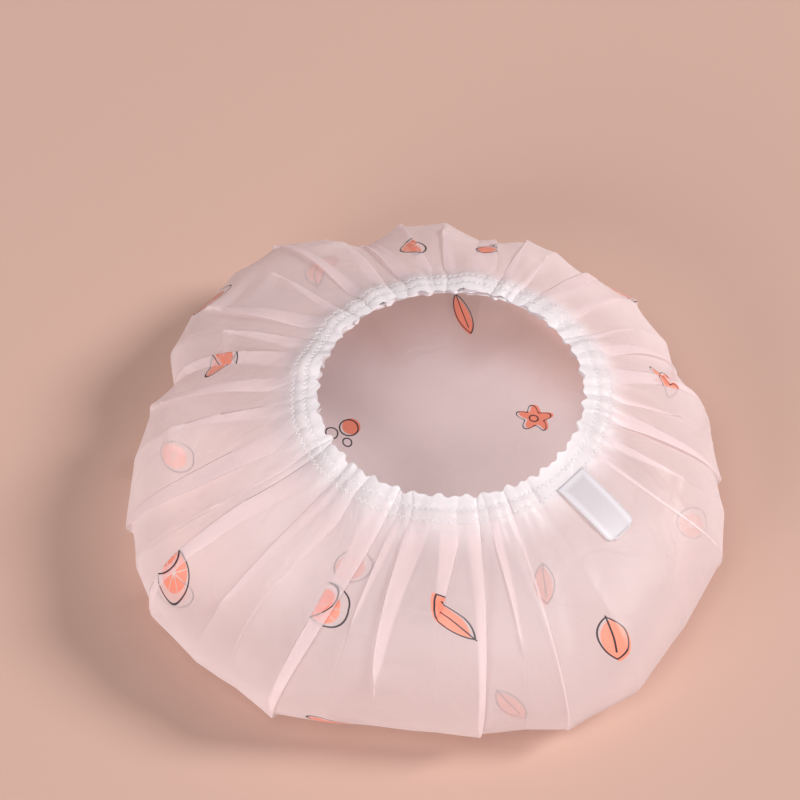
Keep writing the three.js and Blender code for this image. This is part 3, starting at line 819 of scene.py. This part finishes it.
class Finish:
    """A material of one Principled node, whose inputs come from sums."""

    def __init__(self, name, **plain):
        self.material = bpy.data.materials.new(name)
        self.material.use_nodes = True
        self.tree = self.material.node_tree
        self.surface = self.tree.nodes["Principled BSDF"]
        for socket, value in plain.items():
            self.surface.inputs[socket.replace("_", " ")].default_value = value

    def node(self, kind, sockets=None, settings=None, output=0):
        added = self.tree.nodes.new("ShaderNode" + kind)
        for setting, value in (settings or {}).items():
            setattr(added, setting, value)
        for socket, value in (sockets or {}).items():
            if isinstance(value, Link):
                self.tree.links.new(value.socket, added.inputs[socket])
            else:
                added.inputs[socket].default_value = value
        return Link(self, added.outputs[output])

    def mix(self, share, first, second):
        """A colour between two others."""
        settings = {"data_type": "RGBA", "clamp_factor": True}
        return self.node("Mix", {0: share, 6: first, 7: second}, settings, 2)

    def vector(self, operation, *values, output=0):
        """Maths on whole vectors."""
        return self.node("VectorMath", dict(enumerate(values)), {"operation": operation}, output)

    def noise(self, vector, scale, detail, distortion=0.0):
        sockets = {"Vector": vector, "Scale": scale, "Detail": detail, "Distortion": distortion}
        return self.node("TexNoise", sockets)

    def split(self, vector):
        """The three numbers of a vector."""
        parts = self.node("SeparateXYZ", {0: vector})
        return [Link(self, parts.socket.node.outputs[index]) for index in range(3)]

    def feed(self, socket, value):
        self.tree.links.new(value.socket, self.surface.inputs[socket])

    def colours(self, share, first, second):
        self.feed("Base Color", self.mix(share, first, second))

    def bump(self, height, distance, strength):
        sockets = {"Height": height, "Distance": distance, "Strength": strength}
        self.feed("Normal", self.node("Bump", sockets))


def painted(finish, *pieces):
    for piece in pieces:
        piece.data.materials.clear()
        piece.data.materials.append(finish.material)


print("shader maths ready")

# %% [markdown]
# ## The frosted film with its print
# The film is clear plastic with a fine frosted face. It is milky, lets the table show through, and looks
# whiter wherever it lies double. So it is mixed from three shaders: a clear one that shows what lies
# behind, a plain one for its face, and a translucent one, because light that falls on the far side glows
# through. The clear share is smaller in the gathers, on the crumpled middle of the crown and where the film
# is seen aslant, and it drifts a little from place to place.
#
# The print is a sparse scatter of small line drawings with a loose coral fill, in cells on the flat disc.
# Chance per cell shifts and turns each drawing and picks which of four it is. The fill sits a little off
# its line, as cheap two-colour printing does. Where the film is drawn together the drawings are widened, so
# that they keep their shape.

# %% Film
PRINT_CELL = 88 * mm
PRINT_SHIFT = 36 * mm
PRINT_EDGE = 0.2 * mm
PRINT_LINE = 0.75 * mm
PRINT_SCALE = 1.4
PRINT_LIMIT = 225 * mm  # no drawing is centred further out
PRINT_BUNCHED_FROM = 150 * mm  # further out the film is drawn together sideways
PRINT_BUNCHING = 0.009  # for each millimetre further out
PRINT_TURNS = 19  # in radians for each unit of chance
PRINT_KINDS = 4
HALF_CELL = (0.5, 0.5, 0)
WHOLE_CELL = (PRINT_CELL, PRINT_CELL, 1)
OFF_REGISTER = (0.9 * mm, -0.6 * mm, 0)
# Painted bounce: the film's own frost is white, and the pink in this colour stands in for light bounced up
# from the warm table.
FILM_COLOUR_WITH_PAINTED_BOUNCE = (1.0, 0.865, 0.87, 1)
GATHERED_COLOUR = (0.93, 0.865, 0.89, 1)
CORAL = (0.98, 0.30, 0.20, 1)
INK = (0.035, 0.02, 0.03, 1)
GLOW_COLOUR = (1.0, 0.92, 0.93, 1)
THROUGH_SHARE = 0.5  # of the light that the frost scatters, how much goes through it
GATHERED_FROM = 256 * mm  # out on the disc, where the film is bunched up
GATHERED_OVER = 34 * mm
CRUMPLED_WITHIN = 105 * mm  # of the crown's middle, where the film is creased most
CRUMPLED_OVER = 50 * mm
STREAKS_FROM = 225 * mm  # where fine wrinkles run in to the elastic
STREAKS_OVER = 70 * mm
STREAK_LENGTH = 1.2  # less draws the streaks out longer
frost = Finish("printed_film", Roughness=0.4)
uv = frost.node("UVMap", settings={"uv_map": "flat_disc"})

# The cell of each place, chance numbers for that cell, and the way to the place from its drawing's centre
cell = frost.vector("FLOOR", frost.vector("DIVIDE", uv, WHOLE_CELL))
chance = frost.node("TexWhiteNoise", {"Vector": cell}, {"noise_dimensions": "2D"}, output=1)
middle = frost.vector("MULTIPLY", frost.vector("ADD", cell, HALF_CELL), WHOLE_CELL)
off_middle = frost.vector("SUBTRACT", chance, HALF_CELL)
shift = frost.vector("MULTIPLY", off_middle, (PRINT_SHIFT, PRINT_SHIFT, 0))
centre = frost.vector("ADD", middle, shift)
from_centre = frost.vector("SUBTRACT", uv, centre)
chance_x, chance_y, chance_z = frost.split(chance)

# A drawing is widened sideways where the film is bunched, and then turned by chance
distance_out = frost.vector("LENGTH", centre, output=1)
outwards = frost.vector("NORMALIZE", centre)
part_out = frost.vector("DOT_PRODUCT", from_centre, outwards, output=1)
sideways = frost.vector("CROSS_PRODUCT", (0, 0, 1), outwards)
part_side = frost.vector("DOT_PRODUCT", from_centre, sideways, output=1)
bunched = 1 + (distance_out - PRINT_BUNCHED_FROM).most(0) * (PRINT_BUNCHING / mm)
squared = frost.node("CombineXYZ", {0: part_out, 1: part_side / bunched})
turn_angle = (chance_x + chance_y) * PRINT_TURNS
turned = frost.node("VectorRotate", {"Vector": squared, "Angle": turn_angle}, {"rotation_type": "Z_AXIS"})
near_enough = distance_out.under(PRINT_LIMIT, 1 * mm)
# Two of the chance numbers are mixed to pick the kind, so that it isn't tied to the turn
kind = ((chance_z * 7 + chance_x * 5).fraction() * PRINT_KINDS).floor()

# %% [markdown]
# Each drawing is a distance to its edge, below zero inside. From that come a soft-edged fill and a thin
# line on the edge: a flower, a leaf with its rib, three bubbles and a slice of citrus.

# %% The four drawings
def length_of(x, y):
    return (x * x + y * y) ** 0.5


def flower(x, y):
    petals, petal_depth, size, heart = 5, 1.5 * mm, 5.2 * mm, 1.6 * mm
    radius = length_of(x, y)
    turn = y.maths("ARCTAN2", y, x)
    edge = radius - (turn * petals + 1.57).sine() * petal_depth - size
    return edge, abs(edge).least(abs(radius - heart))


def leaf(x, y):
    side_centre, side_radius, rib_middle, half_rib = 5.5 * mm, 9.4 * mm, 1.5 * mm, 6.5 * mm
    edge = length_of(x, y - side_centre).most(length_of(x, y + side_centre)) - side_radius
    rib = abs(y).most(abs(x - rib_middle) - half_rib)
    return edge, abs(edge).least(rib)


def bubbles(x, y):
    # Each bubble has its own centre and radius
    large = length_of(x + 2.4 * mm, y - 1.2 * mm) - 3.4 * mm
    small = length_of(x - 3.6 * mm, y - 3.2 * mm) - 1.7 * mm
    low = length_of(x - 2.6 * mm, y + 3.4 * mm) - 2.3 * mm
    return large, abs(large).least(abs(small)).least(abs(low))


def citrus(x, y):
    spokes, spoke_width, flesh, rind = 4, 0.55 * mm, 5.0 * mm, 6.4 * mm
    radius = length_of(x, y)
    turn = y.maths("ARCTAN2", y, x)
    segments = spoke_width - abs((turn * spokes).sine()) * radius
    return (radius - flesh).most(segments), abs(radius - rind)


shrink = (1 / PRINT_SCALE, 1 / PRINT_SCALE, 1)
drawn_at = frost.vector("MULTIPLY", turned, shrink)
x, y, _ = frost.split(drawn_at)
filled_at = frost.vector("ADD", drawn_at, OFF_REGISTER)
fill_x, fill_y, _ = frost.split(filled_at)
fill = line = 0
for number, drawing in enumerate((flower, leaf, bubbles, citrus)):
    chosen = kind.maths("COMPARE", kind, number, 0.5)
    fill = fill + chosen * drawing(fill_x, fill_y)[0].under(0, PRINT_EDGE)
    line = line + chosen * drawing(x, y)[1].under(PRINT_LINE / 2 / PRINT_SCALE, PRINT_EDGE)
fill = fill * near_enough
line = line * near_enough
print("drawings:", PRINT_KINDS, "kinds, one in each cell of", round(PRINT_CELL / mm), "mm")

# %% [markdown]
# The milk is the share of the film that hides what lies behind it. The print hides nearly all of it. A fine
# grain, the creases of crumpled film and fine streaks that run in to the elastic give the bump.

# %% How milky the film is, and its face
MILK = 0.54
MILK_DRIFT = 0.25
MILK_IN_GATHERS = 0.38
MILK_ON_CROWN = 0.22
MILK_ASLANT = 0.3
FILL_COVERS = 0.85
LINE_COVERS = 0.97
LESS_THROUGH = 0.6  # in the gathers and on the crown
CREASE_SHARPNESS = 9
CREASE_BUMP = 0.5
GRAIN_BUMP = 0.04
STREAK_BUMP = 1.6
BUMP_DEPTH = 0.9 * mm
FILM_ROUGHNESS = 0.32
GRAIN_ROUGHNESS = 0.16
grain = frost.noise(uv, scale=900.0, detail=3.0)
crumple = frost.noise(uv, scale=26.0, detail=4.0, distortion=1.2)
creases = 1 - abs(crumple - 0.5) * CREASE_SHARPNESS
milky = frost.noise(uv, scale=14.0, detail=2.0)
disc_place = frost.vector("LENGTH", uv, output=1)
gathers = 1 - disc_place.under(GATHERED_FROM, GATHERED_OVER)
crumpled = disc_place.under(CRUMPLED_WITHIN, CRUMPLED_OVER)
aslant = frost.node("LayerWeight", {"Blend": 0.5}, output=1)
milk = MILK + (milky - 0.5) * MILK_DRIFT + gathers * MILK_IN_GATHERS
milk = milk + crumpled * MILK_ON_CROWN + aslant * MILK_ASLANT
cover = milk.most(fill * FILL_COVERS).most(line * LINE_COVERS)
# Away from the gathers the film's colour carries the painted pink bounce from the table.
bare = frost.mix(gathers, FILM_COLOUR_WITH_PAINTED_BOUNCE, GATHERED_COLOUR)
frost.colours(line, frost.mix(fill, bare, CORAL), INK)
glow = frost.node("BsdfTranslucent", {"Color": GLOW_COLOUR})
clear = frost.node("BsdfTransparent")
surface = Link(frost, frost.surface.outputs[0])
thinner = 1 - gathers * LESS_THROUGH - crumpled * LESS_THROUGH
through = (1 - fill) * (1 - line) * thinner * THROUGH_SHARE
lit = frost.node("MixShader", {0: through, 1: surface, 2: glow})
seen = frost.node("MixShader", {0: cover, 1: clear, 2: lit})
frost.tree.links.new(seen.socket, frost.tree.nodes["Material Output"].inputs["Surface"])
frost.feed("Roughness", FILM_ROUGHNESS + grain * GRAIN_ROUGHNESS)
round_mouth = frost.vector("NORMALIZE", uv)
drawn_out = frost.node("CombineXYZ", {2: disc_place * STREAK_LENGTH})
streaks = frost.noise(frost.vector("ADD", round_mouth, drawn_out), scale=26.0, detail=2.0)
bunching = 1 - disc_place.under(STREAKS_FROM, STREAKS_OVER)
height = creases.most(0) * CREASE_BUMP + grain * GRAIN_BUMP + streaks * bunching * STREAK_BUMP
frost.bump(height, BUMP_DEPTH, 0.4)
painted(frost, film)
print("film finish:", len(frost.tree.nodes), "nodes")

# %% [markdown]
# ## The knit, the thread and the satin
# The knit shows as small loops along each rib, and its colour is darker in the gaps between the ribs and
# the loops as painted shade. The thread is twisted, so its bump runs in slanting lines. The satin of the
# label has fine floats along its length, which give it a silky streak, painted into its colour as a lighter
# sheen, a firmer woven edge at both sides, and a paler border.

# %% Finishes of the cloth pieces
RIB_WIDTH = ELASTIC_WIDTH / RIBS
KNIT_LOOP = 1.1 * mm
# Painted shade: the knit's colour darkens towards this in the gaps between the ribs and the loops.
KNIT_GAP_PAINTED_SHADE = (0.80, 0.78, 0.80, 1)
KNIT_COLOUR = (0.96, 0.95, 0.96, 1)
ribbed = Finish("ribbed_knit", Roughness=0.85, Sheen_Weight=0.25)
along, across, _ = ribbed.split(ribbed.node("UVMap"))
rib = abs((across * (math.pi / RIB_WIDTH)).sine())
loops = (along * (math.tau / KNIT_LOOP) + rib * 2.4).sine() * 0.5 + 0.5
knit = rib * (0.55 + loops * 0.45)
# The knit mask that gives the bump also paints shade into the gaps.
ribbed.colours(knit, KNIT_GAP_PAINTED_SHADE, KNIT_COLOUR)
ribbed.bump(knit, 0.35 * mm, 0.7)
painted(ribbed, elastic)

THREAD_COLOUR = (0.88, 0.82, 0.85, 1)
THREAD_PALE_COLOUR = (0.96, 0.90, 0.93, 1)
twisted = Finish("twisted_thread", Roughness=0.6, Sheen_Weight=0.2)
place = twisted.node("TexCoord", output=3)
fluff = twisted.noise(place, scale=2500.0, detail=2.0)
waves = {"Vector": place, "Scale": 900.0, "Distortion": 1.5}
twist = twisted.node("TexWave", waves, {"bands_direction": "DIAGONAL"})
twisted.colours(fluff, THREAD_COLOUR, THREAD_PALE_COLOUR)
twisted.bump(twist, 0.08 * mm, 0.6)
painted(twisted, *threads)

SELVEDGE = 1.1 * mm
SELVEDGE_RIBS = 0.6 * mm
FLOATS_ALONG, FLOATS_ACROSS = 500, 4200  # to the metre, so each is a long thin line
SATIN_COLOUR = (0.50, 0.44, 0.465, 1)
SATIN_SHEEN_COLOUR = (0.64, 0.575, 0.60, 1)
BORDER_COLOUR = (0.69, 0.635, 0.665, 1)
LABEL_BORDER = 2.8 * mm  # paler than the middle, where the cloth is turned or sewn
woven = Finish("woven_satin", Roughness=0.38, Sheen_Weight=0.3)
along, across, _ = woven.split(woven.node("UVMap"))
floats = woven.node("CombineXYZ", {0: along * FLOATS_ALONG, 1: across * FLOATS_ACROSS})
streaks = woven.noise(floats, scale=1.0, detail=2.0)
to_edge = LABEL_WIDTH / 2 - abs(across - LABEL_WIDTH / 2)
selvedge = to_edge.under(SELVEDGE, 0.2 * mm)
ribbing = (along * (math.tau / SELVEDGE_RIBS)).sine() * 0.5 + 0.5
to_turn = abs(along - strip_lengths[-1] / 2)
to_border = to_edge.least(to_turn).least(strip_lengths[-1] / 2 - to_turn)
# Painted sheen: the satin's colour turns lighter along the float streaks, as its silky sheen would.
satin = woven.mix(streaks, SATIN_COLOUR, SATIN_SHEEN_COLOUR)
border = to_border.under(LABEL_BORDER, LABEL_BORDER)
woven.colours(border, satin, BORDER_COLOUR)
woven.feed("Roughness", 0.3 + streaks * 0.18 + selvedge * 0.2)
satin_height = streaks * 0.4 + selvedge * (0.6 + ribbing * 0.4)
woven.bump(satin_height, 0.15 * mm, 0.5)
painted(woven, label)
print("cloth finishes ready")

# %% [markdown]
# ## The table and the light
# The cap lies on a plain pale surface of a dusty warm tint, dark enough for the white film to show on it.
# One soft lamp far off to the right gives the shadow to the left and the glints along the creases. A wide
# one low in front, on the left, lights the face of the film and little of the table. A third, high up,
# reaches into the mouth, and the room does the rest.

# %% Floor and light
FLOOR_SIZE = 6
FLOOR_COLOUR = (0.60, 0.378, 0.309, 1)
ROOM_COLOUR = (1, 0.985, 0.98, 1)
ROOM_STRENGTH = 0.14
floor_shape = bmesh.new()
bmesh.ops.create_grid(floor_shape, x_segments=1, y_segments=1, size=FLOOR_SIZE / 2)
floor = smooth_piece("floor", floor_shape)
painted(Finish("floor_paint", Base_Color=FLOOR_COLOUR, Roughness=0.9), floor)


def area_light(name, place, size, power):
    """A round lamp that points at the cap."""
    data = bpy.data.lights.new(name, "AREA")
    data.shape = "DISK"
    data.size = size
    data.energy = power
    lamp = linked(name, data)
    lamp.location = place
    lamp.rotation_euler = (-Vector(place)).to_track_quat("-Z", "Y").to_euler()


area_light("key", place=(5.4, 0.5, 4.1), size=2.4, power=425)
area_light("fill", place=(-3.5, -4.5, 1.95), size=3.2, power=225)
area_light("top", place=(-1.0, -2.7, 5.4), size=3.0, power=105)
world = bpy.data.worlds.new("room")
world.use_nodes = True
background = world.node_tree.nodes["Background"]
background.inputs["Color"].default_value = ROOM_COLOUR
background.inputs["Strength"].default_value = ROOM_STRENGTH
bpy.context.scene.world = world
bpy.context.scene.view_settings.view_transform = "Standard"
